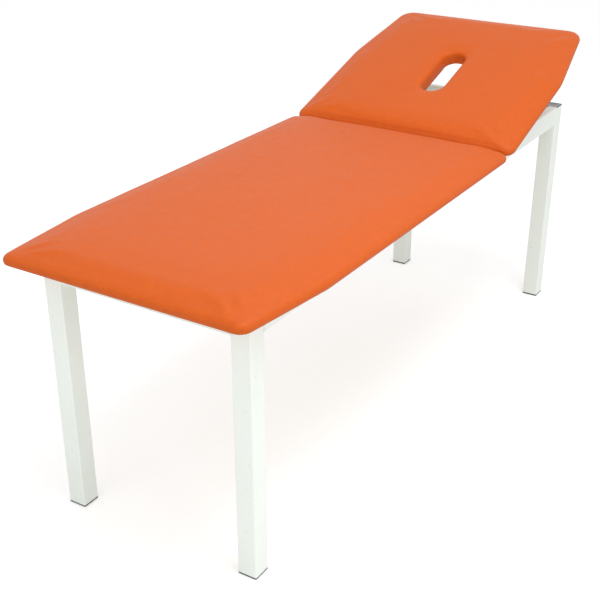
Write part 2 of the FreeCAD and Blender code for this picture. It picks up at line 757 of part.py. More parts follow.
# Butt hinges under the seam
def hinge_leaf(name, own_knuckles):
    """A leaf that points along +X from its pin, level with the top of its knuckles."""
    plate_start = f"({KNUCKLE_RADIUS} + knuckle_play)"
    top = f"{KNUCKLE_RADIUS} - leaf_thickness"
    step = f"leaf_length / {KNUCKLES}"
    pieces = [box(name + "_plate", plate_start, "-leaf_length / 2", top,
                  f"leaf_width - {plate_start}", "leaf_length", "leaf_thickness")]
    for index in own_knuckles:
        start = f"{index} * {step} - leaf_length / 2 + knuckle_play / 2"
        width = f"{step} - knuckle_play"
        pieces.append(cylinder(f"{name}_barrel_{index}", KNUCKLE_RADIUS, width, y=start, axis=Y_AXIS))
        pieces.append(box(f"{name}_neck_{index}", "0", start, top, f"{plate_start} + leaf_thickness",
                          width, "leaf_thickness"))
    holes = [cylinder(name + "_bore", "pin_diameter / 2 + pin_clearance", "leaf_length + 2 * cut_margin",
                      y="-leaf_length / 2 - cut_margin", axis=Y_AXIS)]
    for index in (-1, 0, 1):
        holes.append(cylinder(f"{name}_hole_{index + 1}", "leaf_screw / 2 + pin_clearance",
                              "3 * leaf_thickness", x=LEAF_SCREW_X, y=f"{index} * {LEAF_SCREW_STEP}",
                              z=f"{top} - leaf_thickness"))
    return cut(name, fuse(name + "_blank", pieces), holes)


def make_hinges():
    for side, sign in SIDES:
        y = f"{sign} * {HINGE_Y}"
        fixed = hinge_leaf(f"hinge_fixed_leaf_{side}", range(0, KNUCKLES, 2))
        turn(fixed, Z_AXIS, "180")
        on_hinge(fixed, y=y)
        sub_part(fixed, f"hinge_fixed_leaf_{side}")
        moving = hinge_leaf(f"hinge_moving_leaf_{side}", range(1, KNUCKLES, 2))
        on_headrest(moving, y=y)
        sub_part(moving, f"hinge_moving_leaf_{side}")
    length = "leaf_length + 2 * leaf_thickness"
    ends = [cylinder("hinge_pin_shaft", "pin_diameter / 2", length, y=f"-({length}) / 2", axis=Y_AXIS)]
    for index, start in enumerate((f"-({length}) / 2", "leaf_length / 2 + knuckle_play")):
        ends.append(cylinder(f"hinge_pin_head_{index}", f"{KNUCKLE_RADIUS} - knuckle_play",
                             "leaf_thickness - knuckle_play", y=start, axis=Y_AXIS))
    pin = fuse("hinge_pin", ends)
    leaf_bottom = f"{KNUCKLE_RADIUS} - leaf_thickness"
    length = "leaf_thickness + cover_thickness + screw_bite"
    leaf_screw = screw("leaf_screw", "leaf_screw", "leaf_screw_head", length)
    doc.recompute()
    on_hinge(group("hinge_pins", pin, [("0", f"{sign} * {HINGE_Y}", "0") for _, sign in SIDES]))
    for name, sign, place_on in (("fixed", -1, on_hinge), ("moving", 1, on_headrest)):
        points = [(x, y, leaf_bottom) for x, y in leaf_screw_points(sign)]
        place_on(group(f"{name}_leaf_screws", leaf_screw, points))


def make_board_screws():
    master = screw("cross_rail_screw", "board_screw", "board_screw_head", "cross_height + screw_bite")
    doc.recompute()
    points = [(x, y, f"{BOARD_RISE} - cross_height") for x, y in board_screw_points()]
    on_hinge(group("board_screws", master, points))


# Prop: brackets under the headrest, two arms, a cross rod and its collars
def prop_bracket(name):
    """A clevis with its pin's axis at the origin and its base above."""
    rise = f"({BOARD_RISE} + {PIVOT_DROP})"
    pieces = [box(name + "_base", "-bracket_length / 2", "-bracket_width / 2", f"{rise} - bracket_base",
                  "bracket_length", "bracket_width", "bracket_base")]
    for index, sign in enumerate((-1, 1)):
        start = f"{sign} * {EAR_PLACE} - ear_thickness / 2"
        pieces.append(cylinder(f"{name}_ear_{index}", "ear_radius", "ear_thickness", y=start, axis=Y_AXIS))
        pieces.append(box(f"{name}_web_{index}", "-ear_radius", start, "0", "2 * ear_radius",
                          "ear_thickness", f"{rise} - bracket_base / 2"))
    reach = f"({EAR_PLACE} + ear_thickness)"
    holes = [cylinder(name + "_bore", "pivot_diameter / 2 + pin_clearance", f"2 * {reach}",
                      y=f"-{reach}", axis=Y_AXIS)]
    for index, (x_sign, y_sign) in enumerate(((-1, -1), (-1, 1), (1, -1), (1, 1))):
        holes.append(cylinder(f"{name}_hole_{index}", "bracket_screw / 2 + pin_clearance", "3 * bracket_base",
                              f"{x_sign} * (bracket_length / 2 - bracket_hole_margin)",
                              f"{y_sign} * (bracket_width / 2 - bracket_hole_margin)",
                              f"{rise} - 2 * bracket_base"))
    return cut(name, fuse(name + "_blank", pieces), holes)


def prop_arm(name):
    """A flat bar with round ends, its pivot at the origin and the rod's hole along +X."""
    body = doc.addObject("PartDesign::Body", name)
    outline = new_sketch(body, name + "_outline", "XZ_Plane")
    obround(outline, "0", f"{PROP_REACH}", "arm_eye")
    round_hole(outline, "0", "pivot_diameter / 2 + pin_clearance")
    round_hole(outline, f"{PROP_REACH}", "rod_diameter / 2 + pin_clearance")
    pad(body, outline, "arm_thickness")
    return body


def make_prop():
    for side, sign in SIDES:
        y = f"{sign} * {ARM_Y}"
        bracket = prop_bracket(f"prop_bracket_{side}")
        on_headrest(bracket, PIVOT_ALONG, y, f"-{PIVOT_DROP}")
        sub_part(bracket, f"prop_bracket_{side}")
        arm = prop_arm(f"prop_arm_{side}")
        on_prop(arm, "0", y)
        sub_part(arm, f"prop_arm_{side}")
    rod_length = f"({INNER_WIDTH} - 2 * rod_play)"
    rod = cylinder("prop_rod", "rod_diameter / 2", rod_length, axis=Y_AXIS)
    place(rod, f"{PIVOT_X} + {PROP_REACH} * cos({PROP_ANGLE})", f"-{rod_length} / 2",
          f"{PIVOT_Z} - {PROP_REACH} * sin({PROP_ANGLE})")
    sub_part(rod, "prop_rod")
    make_collars()
    make_pivot_pins()


def make_collars():
    """Collars on the rod, beside the rack plates."""
    ring = cut("collar", cylinder("collar_blank", "collar_diameter / 2", "collar_width", axis=Y_AXIS),
               [cylinder("collar_bore", "rod_diameter / 2 + pin_clearance", "collar_width + 2 * cut_margin",
                         y="-cut_margin", axis=Y_AXIS)])
    doc.recompute()
    inside = f"({INNER_WIDTH} / 2 - rack_thickness - rod_play)"
    collars = group("rod_collars", ring, [("0", f"-{inside}", "0"), ("0", f"{inside} - collar_width", "0")])
    on_prop(collars, f"{PROP_REACH}")


def make_pivot_pins():
    """Pivot pins through the brackets, with a head at each end."""
    half = f"({EAR_PLACE} + ear_thickness / 2 + pin_clearance)"
    pieces = [cylinder("pivot_shaft", "pivot_diameter / 2", f"2 * {half}", y=f"-{half}", axis=Y_AXIS)]
    for index, start in enumerate((f"-{half} - pivot_head_height", half)):
        pieces.append(cylinder(f"pivot_head_{index}", "pivot_head / 2", "pivot_head_height", y=start,
                               axis=Y_AXIS))
    pin = fuse("pivot_pin", pieces)
    bracket_screw = screw("bracket_screw", "bracket_screw", "bracket_screw_head", "bracket_base + screw_bite")
    doc.recompute()
    pins = group("prop_pivot_pins", pin, [("0", f"{sign} * {ARM_Y}", "0") for _, sign in SIDES])
    on_headrest(pins, PIVOT_ALONG, "0", f"-{PIVOT_DROP}")
    points = [(x, y, f"{BOARD_RISE} - bracket_base") for x, y in bracket_screw_points()]
    on_headrest(group("bracket_screws", bracket_screw, points))


# Rack plates on the inner faces of the side rails
def rack_plate(name):
    """A plate with a sloping slot for the rod, and a notch under the slot for each tilt."""
    body = doc.addObject("PartDesign::Body", name)
    outline = new_sketch(body, name + "_outline", "XZ_Plane")
    rounded_rectangle(outline, f"2 * ({SLOT_HALF} + {SLOT_RADIUS} + rack_margin)", "rack_height",
                      "rack_corner")
    pad(body, outline, "rack_thickness")
    slot = new_sketch(body, name + "_slot", "XZ_Plane")
    obround(slot, f"-{SLOT_HALF}", SLOT_HALF, SLOT_RADIUS)
    through_pocket(body, slot, "2 * rack_thickness")
    for index in range(1, int(value("top_angle / step_angle") + 0.001) + 1):
        tilt = f"({index} * step_angle * 1 deg)"
        notch = new_sketch(body, f"{name}_notch_{index}", "XZ_Plane")
        bind(notch, **{"AttachmentOffset.Base.y": "-notch_depth"})
        round_hole(notch, f"{ROD_FAR} * cos{tilt} - {SLOT_MIDDLE}", SLOT_RADIUS)
        through_pocket(body, notch, "2 * rack_thickness")
    return body


def make_racks():
    for side, sign in SIDES:
        label = f"rack_plate_{side}"
        plate = rack_plate(label)
        turn(plate, Y_AXIS, "guide_angle")
        on_hinge(plate, f"{SLOT_MIDDLE} * cos(guide_angle * 1 deg)",
                 f"{sign} * ({INNER_WIDTH} - rack_thickness) / 2",
                 f"-{SLOT_MIDDLE} * sin(guide_angle * 1 deg)")
        sub_part(plate, label)


def check_and_write():
    """Stop if anything failed, then write each sub-part to a file of its own."""
    doc.recompute()
    failed = [item.Name for item in doc.Objects if "Invalid" in item.State or "Error" in item.State]
    for piece in sub_parts:
        if piece.Shape.isNull() or not piece.Shape.isValid() or not piece.Shape.Solids:
            failed.append(piece.Label)
    if failed:
        raise RuntimeError("failed: " + ", ".join(failed))
    os.makedirs("parts", exist_ok=True)
    for piece in sub_parts:
        piece.Shape.exportStep(os.path.join("parts", piece.Label + ".step"))


make_legs()
make_rails()
make_cross_rails()
make_plugs()
make_pads()
make_hinges()
make_board_screws()
make_prop()
make_racks()
check_and_write()
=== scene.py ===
import json
import math

import bmesh
import bpy
import numpy as np
from mathutils import Matrix, Vector, noise


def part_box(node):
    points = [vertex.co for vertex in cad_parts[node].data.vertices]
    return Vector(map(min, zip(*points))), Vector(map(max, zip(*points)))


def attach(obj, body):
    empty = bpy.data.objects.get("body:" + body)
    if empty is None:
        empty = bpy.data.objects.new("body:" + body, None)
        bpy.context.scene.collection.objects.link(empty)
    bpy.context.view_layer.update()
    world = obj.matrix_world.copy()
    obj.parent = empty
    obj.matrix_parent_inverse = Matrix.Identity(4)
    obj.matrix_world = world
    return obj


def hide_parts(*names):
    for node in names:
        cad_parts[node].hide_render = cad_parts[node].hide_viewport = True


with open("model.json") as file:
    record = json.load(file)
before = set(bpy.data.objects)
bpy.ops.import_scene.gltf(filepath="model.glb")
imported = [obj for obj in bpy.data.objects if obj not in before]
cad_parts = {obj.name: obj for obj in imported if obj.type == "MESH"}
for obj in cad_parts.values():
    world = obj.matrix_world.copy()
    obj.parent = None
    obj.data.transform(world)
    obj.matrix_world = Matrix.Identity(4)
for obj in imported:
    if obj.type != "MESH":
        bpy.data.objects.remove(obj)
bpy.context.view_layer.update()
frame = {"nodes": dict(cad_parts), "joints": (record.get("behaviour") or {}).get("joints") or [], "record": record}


# Places read from the frame, in metres
def steady(length):
    """A length read from the frame, without the rounding noise of its mesh."""
    return round(length, 6)


def node_points(node, matrix):
    """A node's points in the directions of the body that it is on."""
    to_local = matrix.inverted()
    return [to_local @ vert.co for vert in frame["nodes"][node].data.vertices]


def span_of(points, axis):
    """Lowest and highest place of some points along an axis."""
    along = [point[axis] for point in points]
    return steady(min(along)), steady(max(along))


tilt_joint = next(joint for joint in frame["joints"] if joint["name"] == "headrest_tilt")
HINGE = Vector(tilt_joint["pos_m"])
TILT = math.radians(-tilt_joint["range_deg"][0])
body_matrix = Matrix.Translation(HINGE)
headrest_matrix = body_matrix @ Matrix.Rotation(-TILT, 4, "Y")

leg_boxes = (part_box("leg_foot_left"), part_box("leg_head_right"))
LEG_X = [steady((low.x + high.x) / 2) for low, high in leg_boxes]
LEG_Y = [steady((low.y + high.y) / 2) for low, high in leg_boxes]
LEG_HALF = steady((leg_boxes[0][1].x - leg_boxes[0][0].x) / 2)
LEG_TOP = steady(leg_boxes[0][1].z)
FRAME_ENDS = (steady(LEG_X[0] - LEG_HALF), steady(LEG_X[1] + LEG_HALF))

rail_low, rail_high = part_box("side_rail_right")
RAIL_BOTTOM = steady(rail_low.z)
RAIL_TOP = steady(rail_high.z)
RAIL_INNER = steady(rail_low.y)
RAIL_OUTER = steady(rail_high.y)
RAIL_WIDTH = steady(RAIL_OUTER - RAIL_INNER)

cap_low, cap_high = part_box("leg_top_caps")
CAP_PLUG_FOOT = steady(cap_low.z)
CAP_TOP = steady(cap_high.z)

# Pad sizes from the hinge axis, in the pads' own directions
body_points = node_points("body_cover", body_matrix)
head_points = node_points("head_cover", headrest_matrix)
FOOT_EDGE = -span_of(body_points, 0)[0]
SEAM = -span_of(body_points, 0)[1]
HEAD_EDGE = span_of(head_points, 0)[1]
HALF_WIDTH = span_of(body_points, 1)[1]
LIFT = span_of(body_points, 2)[0]

# Outline of the pads, in metres; a taper is its length and how much each side narrows
HEAD_TAPER = (0.288, 0.043)
FOOT_TAPER = (0.270, 0.030)
BEND_RADIUS = 0.3
FOOT_CORNER = 0.028
HEAD_CORNER = 0.048
SEAM_CORNER = 0.03
CORNER_GROWTH = 0.9
CORNER_ROOM = 0.6
SEAM_SHARE = 0.5
SLOT_CENTRE = 0.32665
SLOT_HALF = 0.1117
SLOT_RADIUS = 0.035
SLOT_ROUND = 0.999

# Points in each corner's arc and along each straight run, from the seam's near corner
PAD_ARC = 12
BODY_RUNS = (48, 12, 32, 12, 48, 34)
HEAD_RUNS = (20, 10, 30, 10, 20, 34)
SLOT_ARC = 10
SLOT_RUNS = (12, 2, 12, 2)

# Section of the pads, in metres; a row is shares of the lip, or a share of the crown and steps inwards
PAD_EDGE = 0.038
CROWN = 0.004
CROWN_STEP = 0.0513
CROWN_ROWS = ((0.45, 0.5), (0.75, 1), (0.92, 1.5), (1.0, 2))
EDGE_REACH = 0.084
EDGE_STEPS = 10
LIP = 0.007
LIP_INSET = 0.0025
LIP_ROWS = ((1.0, 0.0), (0.35, 0.5), (0.0, 1.0))
SLOT_RIM = 0.009
SLOT_STEPS = 6
PAD_SHRINK = 0.0004

# How the pads are drawn tight, with lengths in metres; a swell is its rate and its depth
VOXEL = 0.007
HELD_HEIGHT = 0.6 * LIP
CLOTH_STEPS = 20
CLOTH_PRESSURE = 2.5
SWELL_LIMIT = 0.003
SIDE_TOP = 0.028
SIDE_FADE = 0.012
SIDE_BAND = 0.06
CUT_HEIGHT = 0.5 * LIP
PLEAT_TOP = 0.026
PLEAT_DEPTH = 0.0007
PLEAT_FADE = 1.5
PLEAT_WAVES = 13
PLEAT_START = 0.6
FOAM_SWELLS = ((7.0, 0.0005), (21.0, 0.00022))
FOAM_FADE = 0.02
SKIN = 0.0012
TINY = 1e-9

# Flaps, hem and staples under the boards, in metres; a wave is its rate and its depth
FLAP = 0.04
FLAP_TURN = 0.006
FLAP_OVERLAP = 0.0003
FLAP_START = LIP_INSET - FLAP_OVERLAP
FLAP_SKIN = 0.9 * SKIN
FLAP_ROWS = (0.0, 0.25, 0.5, 0.75, 1.0)
CUT_WAVE = (30, 0.0012)
RIPPLE_WAVE = (60, 0.00025)
HEM_START = 0.0004
HEM = 0.015
STAPLE_INSET = 0.7 * FLAP
STAPLE_HEM_INSET = 0.6 * HEM
STAPLE_SPACING = 0.045
STAPLE_LIFT = 0.0001
STAPLE_TWIST = 0.25
STAPLE_CROWN = (0.0105, 0.0012, 0.0007)
STAPLE_LEG = (0.0012, 0.0012, 0.003)
STAPLE_LEG_X = 0.0047
STAPLE_LEG_Z = 0.0012

# Caps, welds and screws, in metres; the recess is in shares of the head's radius
CAP_PLUG_HALF = 0.0228
CAP_ROUND = 0.0012
CAP_STEPS = 4
CAP_ARC = 6
CAP_RUNS = (2, 2, 2, 2)
CAP_CORNER = 0.0035
CAP_CORNER_LEAST = 0.0008
CAP_DISH_ROWS = ((0.0035, 0.0), (0.0045, 0.0004), (0.015, 0.00052))
CAP_SHARP = math.radians(40)
BEAD_RADIUS = 0.0028
BEAD_SMALL = 0.85 * BEAD_RADIUS
BEAD_STEP = 0.0009
BEAD_RIPPLE = 0.0036
BEAD_RIPPLE_SHARE = 0.10
BEAD_UNEVEN_RATE = 160
BEAD_UNEVEN_SHARE = 0.12
BEAD_TIP = 0.35
BEAD_TIP_STEP = 0.2
BEAD_SIDES = 8
BEAD_TOP_GAP = 0.004
BEAD_TOP = RAIL_TOP - BEAD_TOP_GAP
BEAD_END_GAP = 0.003
SCREW_APART = 0.01
SCREW_HEAD = 0.002
SCREW_DOME = 0.55
SCREW_RINGS = 14
SCREW_SIDES = 40
SCREW_TURN = 40
SCREW_SHARP = math.radians(35)
RECESS_DEPTH = 0.85
RECESS_ARM = 0.17
RECESS_WALL = 0.09
RECESS_REACH = 0.62
RECESS_END = 0.25


# Node materials
def new_material(name):
    mat = bpy.data.materials.new(name)
    mat.use_nodes = True
    return mat, mat.node_tree, mat.node_tree.nodes["Principled BSDF"]


def add_node(tree, kind, inputs=None, **settings):
    node = tree.nodes.new(kind)
    for key, setting in settings.items():
        setattr(node, key, setting)
    for key, number in (inputs or {}).items():
        node.inputs[key].default_value = number
    return node


def object_space(tree, stretch=(1, 1, 1)):
    """Coordinates in metres that stay with the piece."""
    coords = add_node(tree, "ShaderNodeTexCoord")
    mapping = add_node(tree, "ShaderNodeMapping", {"Scale": stretch})
    tree.links.new(coords.outputs["Object"], mapping.inputs["Vector"])
    return mapping.outputs["Vector"]


def noise_texture(tree, space, scale, detail=3.0, roughness=0.5, distortion=0.0):
    node = add_node(tree, "ShaderNodeTexNoise", {
        "Scale": scale, "Detail": detail, "Roughness": roughness, "Distortion": distortion})
    tree.links.new(space, node.inputs["Vector"])
    return node.outputs[0]


def ramp(tree, value, stops):
    """A colour ramp; stops are positions with linear colours."""
    node = add_node(tree, "ShaderNodeValToRGB")
    elements = node.color_ramp.elements
    while len(elements) < len(stops):
        elements.new(0.5)
    for element, (position, colour) in zip(elements, stops):
        element.position = position
        element.color = (*colour, 1.0)
    tree.links.new(value, node.inputs["Fac"])
    return node.outputs["Color"]


def spread(tree, value, low, high):
    """Map a texture's middle range to the range from low to high."""
    node = add_node(tree, "ShaderNodeMapRange", {
        "From Min": 0.3, "From Max": 0.7, "To Min": low, "To Max": high})
    tree.links.new(value, node.inputs["Value"])
    return node.outputs["Result"]


def multiply(tree, first, second):
    """One colour darkened by another."""
    node = add_node(tree, "ShaderNodeMix", {"Factor": 1.0}, data_type="RGBA", blend_type="MULTIPLY")
    tree.links.new(first, node.inputs["A"])
    tree.links.new(second, node.inputs["B"])
    return node.outputs["Result"]


def bump(tree, bsdf, layers):
    """Stack bump layers; each is a height with its strength and its depth in metres."""
    normal = None
    for height, strength, depth in layers:
        node = add_node(tree, "ShaderNodeBump", {"Strength": strength, "Distance": depth})
        tree.links.new(height, node.inputs["Height"])
        if normal is not None:
            tree.links.new(normal, node.inputs["Normal"])
        normal = node.outputs["Normal"]
    tree.links.new(normal, bsdf.inputs["Normal"])


def powder_coat():
    """White powder coat: orange peel, faint tint changes and a satin gloss."""
    mat, tree, bsdf = new_material("powder_coat")
    space = object_space(tree)
    tint = noise_texture(tree, space, scale=7.0, detail=4.0)
    colour = ramp(tree, tint, [(0.3, (0.845, 0.900, 0.840)), (0.7, (0.875, 0.920, 0.868))])
    tree.links.new(colour, bsdf.inputs["Base Color"])
    gloss = spread(tree, noise_texture(tree, space, scale=60.0), low=0.27, high=0.38)
    tree.links.new(gloss, bsdf.inputs["Roughness"])
    peel = noise_texture(tree, space, scale=420.0, detail=1.0)
    dimple = noise_texture(tree, space, scale=38.0, detail=2.0)
    bump(tree, bsdf, [(dimple, 0.06, 0.002), (peel, 0.10, 0.0006)])
    bsdf.inputs["Coat Weight"].default_value = 0.15
    bsdf.inputs["Coat Roughness"].default_value = 0.2
    return mat


def warped_space(tree, space, scale, depth):
    """Coordinates shifted a little by noise, so that a pattern isn't regular."""
    warp = noise_texture(tree, space, scale=scale, detail=2.0)
    shift = add_node(tree, "ShaderNodeVectorMath", {"Scale": depth}, operation="SCALE")
    tree.links.new(warp, shift.inputs[0])
    shifted = add_node(tree, "ShaderNodeVectorMath", operation="ADD")
    tree.links.new(space, shifted.inputs[0])
    tree.links.new(shift.outputs["Vector"], shifted.inputs[1])
    return shifted.outputs["Vector"]


def vinyl():
    """Orange vinyl: pebbled grain with fine creases darkened by painted shade, slight mottling and a satin gloss.
    """
    mat, tree, bsdf = new_material("vinyl")
    space = object_space(tree)
    pebble = add_node(tree, "ShaderNodeTexVoronoi", {"Scale": 430.0, "Randomness": 1.0},
                      feature="DISTANCE_TO_EDGE")
    warped = warped_space(tree, space, scale=300.0, depth=0.0012)
    tree.links.new(warped, pebble.inputs["Vector"])
    crease = add_node(tree, "ShaderNodeMapRange", {
        "From Min": 0.0, "From Max": 0.22, "To Min": 0.0, "To Max": 1.0},
        interpolation_type="SMOOTHSTEP")
    tree.links.new(pebble.outputs["Distance"], crease.inputs["Value"])
    grain = crease.outputs["Result"]
    pores = noise_texture(tree, space, scale=1500.0, detail=2.0)
    mottle = noise_texture(tree, space, scale=55.0, detail=5.0, roughness=0.62)
    tone = ramp(tree, mottle, [(0.28, (0.632, 0.103, 0.0045)), (0.72, (0.676, 0.116, 0.0062))])
    # Painted shade: the colour is darkened in the grain's creases, where shade falls.
    painted_crease_shade = ramp(tree, grain, [(0.0, (0.80, 0.72, 0.68)), (0.6, (1.0, 1.0, 1.0))])
    tree.links.new(multiply(tree, tone, painted_crease_shade), bsdf.inputs["Base Color"])
    tree.links.new(spread(tree, mottle, low=0.40, high=0.52), bsdf.inputs["Roughness"])
    bump(tree, bsdf, [(grain, 0.28, 0.0004), (pores, 0.12, 0.0002)])
    bsdf.inputs["Specular IOR Level"].default_value = 0.22
    return mat


def vinyl_back():
    """Cloth backing on the inside of the vinyl."""
    mat, tree, bsdf = new_material("vinyl_back")
    weave = noise_texture(tree, object_space(tree), scale=900.0, detail=2.0)
    colour = ramp(tree, weave, [(0.3, (0.55, 0.50, 0.42)), (0.7, (0.70, 0.66, 0.58))])
    tree.links.new(colour, bsdf.inputs["Base Color"])
    bsdf.inputs["Roughness"].default_value = 0.95
    bump(tree, bsdf, [(weave, 0.4, 0.0004)])
    return mat


def black_plastic():
    """Moulded black plastic with a fine grain and faint scuffs."""
    mat, tree, bsdf = new_material("black_plastic")
    space = object_space(tree)
    grain = noise_texture(tree, space, scale=1100.0, roughness=0.6)
    scuff = noise_texture(tree, space, scale=70.0, detail=5.0, roughness=0.65)
    colour = ramp(tree, scuff, [(0.35, (0.010, 0.011, 0.011)), (0.75, (0.028, 0.030, 0.030))])
    tree.links.new(colour, bsdf.inputs["Base Color"])
    tree.links.new(spread(tree, scuff, low=0.26, high=0.42), bsdf.inputs["Roughness"])
    bump(tree, bsdf, [(grain, 0.15, 0.0003)])
    return mat


def cap_plastic():
    """Polished black plastic, with faint swirls from wiping."""
    mat, tree, bsdf = new_material("cap_plastic")
    long_space = object_space(tree, (1.0, 4.0, 1.0))
    wiped = noise_texture(tree, long_space, scale=160.0, detail=4.0, roughness=0.6, distortion=0.8)
    colour = ramp(tree, wiped, [(0.3, (0.012, 0.013, 0.013)), (0.7, (0.020, 0.022, 0.021))])
    tree.links.new(colour, bsdf.inputs["Base Color"])
    tree.links.new(spread(tree, wiped, low=0.07, high=0.13), bsdf.inputs["Roughness"])
    wave = noise_texture(tree, object_space(tree), scale=90.0, detail=2.0)
    bump(tree, bsdf, [(wave, 0.05, 0.0005)])
    bsdf.inputs["Specular IOR Level"].default_value = 0.7
    return mat


def zinc_plate():
    """Bright zinc plating on drawn steel: fine draw lines, a faint blue and yellow bloom."""
    mat, tree, bsdf = new_material("zinc_plate")
    lines = noise_texture(tree, object_space(tree, (25, 900, 900)), scale=1.0, detail=4.0)
    bloom = noise_texture(tree, object_space(tree), scale=26.0, detail=4.0)
    colour = ramp(tree, bloom, [
        (0.3, (0.55, 0.58, 0.62)), (0.5, (0.62, 0.62, 0.61)), (0.7, (0.63, 0.60, 0.53))])
    tree.links.new(colour, bsdf.inputs["Base Color"])
    bsdf.inputs["Metallic"].default_value = 1.0
    tree.links.new(spread(tree, lines, low=0.24, high=0.42), bsdf.inputs["Roughness"])
    bump(tree, bsdf, [(lines, 0.12, 0.0002)])
    return mat


def plywood():
    """Birch plywood: long fibres over wide growth bands."""
    mat, tree, bsdf = new_material("plywood")
    fibre_space = object_space(tree, (1.6, 30, 30))
    fibre = noise_texture(tree, fibre_space, scale=6.0, detail=6.0, roughness=0.6, distortion=0.4)
    band_space = object_space(tree, (0.9, 6, 6))
    bands = noise_texture(tree, band_space, scale=3.2, detail=4.0, distortion=1.2)
    base = ramp(tree, bands, [
        (0.3, (0.46, 0.31, 0.175)), (0.5, (0.60, 0.43, 0.26)), (0.7, (0.66, 0.50, 0.32))])
    fine = ramp(tree, fibre, [(0.25, (0.72, 0.66, 0.60)), (0.6, (1.0, 1.0, 1.0))])
    tree.links.new(multiply(tree, base, fine), bsdf.inputs["Base Color"])
    bsdf.inputs["Roughness"].default_value = 0.72
    bump(tree, bsdf, [(fibre, 0.25, 0.0005)])
    return mat


def foam_block():
    """Open-cell foam."""
    mat, tree, bsdf = new_material("foam")
    cells = noise_texture(tree, object_space(tree), scale=700.0, detail=4.0)
    colour = ramp(tree, cells, [(0.3, (0.60, 0.53, 0.34)), (0.7, (0.74, 0.68, 0.47))])
    tree.links.new(colour, bsdf.inputs["Base Color"])
    bsdf.inputs["Roughness"].default_value = 0.95
    bump(tree, bsdf, [(cells, 0.5, 0.001)])
    return mat


COAT = powder_coat()
VINYL = vinyl()
VINYL_BACK = vinyl_back()
PLASTIC = black_plastic()
GLOSS = cap_plastic()
ZINC = zinc_plate()
SLOT_MATERIALS = {
    "white_coat": COAT,
    "black_plastic": PLASTIC,
    "plywood": plywood(),
    "foam": foam_block(),
    "vinyl": VINYL,
    "zinc": ZINC,
}

for entry in frame["record"]["subparts"]:
    mesh = frame["nodes"][entry["node"]].data
    mesh.materials.clear()
    mesh.materials.append(SLOT_MATERIALS[entry["material_slot"]])


# Mesh helpers
def new_object(name, data):
    piece = bpy.data.objects.new(name, data)
    bpy.context.scene.collection.objects.link(piece)
    return piece


def shade_smooth(mesh):
    mesh.polygons.foreach_set("use_smooth", [True] * len(mesh.polygons))


def mesh_object(name, bm, materials, smooth=True):
    mesh = bpy.data.meshes.new(name)
    bmesh.ops.recalc_face_normals(bm, faces=bm.faces)
    bm.to_mesh(mesh)
    bm.free()
    for material in materials:
        mesh.materials.append(material)
    if smooth:
        shade_smooth(mesh)
    return new_object(name, mesh)


def bake_modifiers(piece):
    """Put the result of a piece's modifiers into its mesh."""
    depsgraph = bpy.context.evaluated_depsgraph_get()
    mesh = bpy.data.meshes.new_from_object(piece.evaluated_get(depsgraph))
    old = piece.data
    piece.modifiers.clear()
    piece.data = mesh
    bpy.data.meshes.remove(old)


def read_points(mesh):
    flat = np.empty(len(mesh.vertices) * 3)
    mesh.vertices.foreach_get("co", flat)
    return flat.reshape(-1, 3)


def write_points(mesh, points):
    mesh.vertices.foreach_set("co", np.ascontiguousarray(points).ravel())
    mesh.update()


def ring_of(bm, loop, height):
    return [bm.verts.new((x, y, height)) for x, y in loop]


def edges_of(ring):
    found = []
    for index, vert in enumerate(ring):
        other = ring[(index + 1) % len(ring)]
        found += [edge for edge in vert.link_edges if edge.other_vert(vert) == other]
    return found


def bridge(bm, rings):
    """Faces from each ring of points to the next."""
    for first, second in zip(rings, rings[1:]):
        for index, vert in enumerate(first):
            following = (index + 1) % len(first)
            bm.faces.new((vert, first[following], second[following], second[index]))


def closed_tube(bm, rings):
    """Faces from each ring to the next, and one over each end."""
    bridge(bm, rings)
    bm.faces.new(rings[-1])
    bm.faces.new(list(reversed(rings[0])))


def flat_noise(x, y, rate, seed):
    return noise.noise(Vector((x * rate, y * rate, seed)))


# Outlines, as loops of points
def rounded_loop(corners, per_arc, runs):
    """Points round a polygon with round corners: as many for any size."""
    points = []
    count = len(corners)
    arcs = []
    for index, (point, radius) in enumerate(corners):
        here = Vector(point)
        back = (Vector(corners[index - 1][0]) - here).normalized()
        ahead = (Vector(corners[(index + 1) % count][0]) - here).normalized()
        half = back.angle(ahead) / 2
        run = radius / math.tan(half)
        centre = here + (back + ahead).normalized() * (radius / math.sin(half))
        arcs.append((here + back * run, here + ahead * run, centre, radius))
    for index, (start, end, centre, radius) in enumerate(arcs):
        first = math.atan2(start.y - centre.y, start.x - centre.x)
        sweep = math.atan2(end.y - centre.y, end.x - centre.x) - first
        sweep = (sweep + math.pi) % (2 * math.pi) - math.pi
        for step in range(per_arc + 1):
            angle = first + sweep * step / per_arc
            points.append((centre.x + radius * math.cos(angle), centre.y + radius * math.sin(angle)))
        following = arcs[(index + 1) % count][0]
        steps = runs[index]
        for step in range(1, steps):
            point = end.lerp(following, step / steps)
            points.append((point.x, point.y))
    return points


def pad_corners(sign, tip, taper_size, corner, inset):
    """A pad's outline, drawn in by the inset: straight at the hinge, narrowing towards its end."""
    length, narrowing = taper_size
    taper = math.atan(narrowing / length)
    seam = SEAM + SEAM_SHARE * inset
    half = HALF_WIDTH - inset
    bend = tip - length - inset * math.tan(taper / 2)
    last = tip - inset
    end_half = half - (last - bend) * math.tan(taper)
    radius = min(corner + CORNER_GROWTH * min(inset, EDGE_REACH), CORNER_ROOM * (last - bend))
    shape = ((seam, half, SEAM_CORNER), (bend, half, BEND_RADIUS), (last, end_half, radius))
    corners = [((sign * x, -y), rounding) for x, y, rounding in shape]
    return corners + [((sign * x, y), rounding) for x, y, rounding in reversed(shape)]


def body_loop(inset):
    corners = pad_corners(-1, FOOT_EDGE, FOOT_TAPER, FOOT_CORNER, inset)
    return rounded_loop(corners, PAD_ARC, BODY_RUNS)


def head_loop(inset):
    corners = pad_corners(1, HEAD_EDGE, HEAD_TAPER, HEAD_CORNER, inset)
    return rounded_loop(corners, PAD_ARC, HEAD_RUNS)


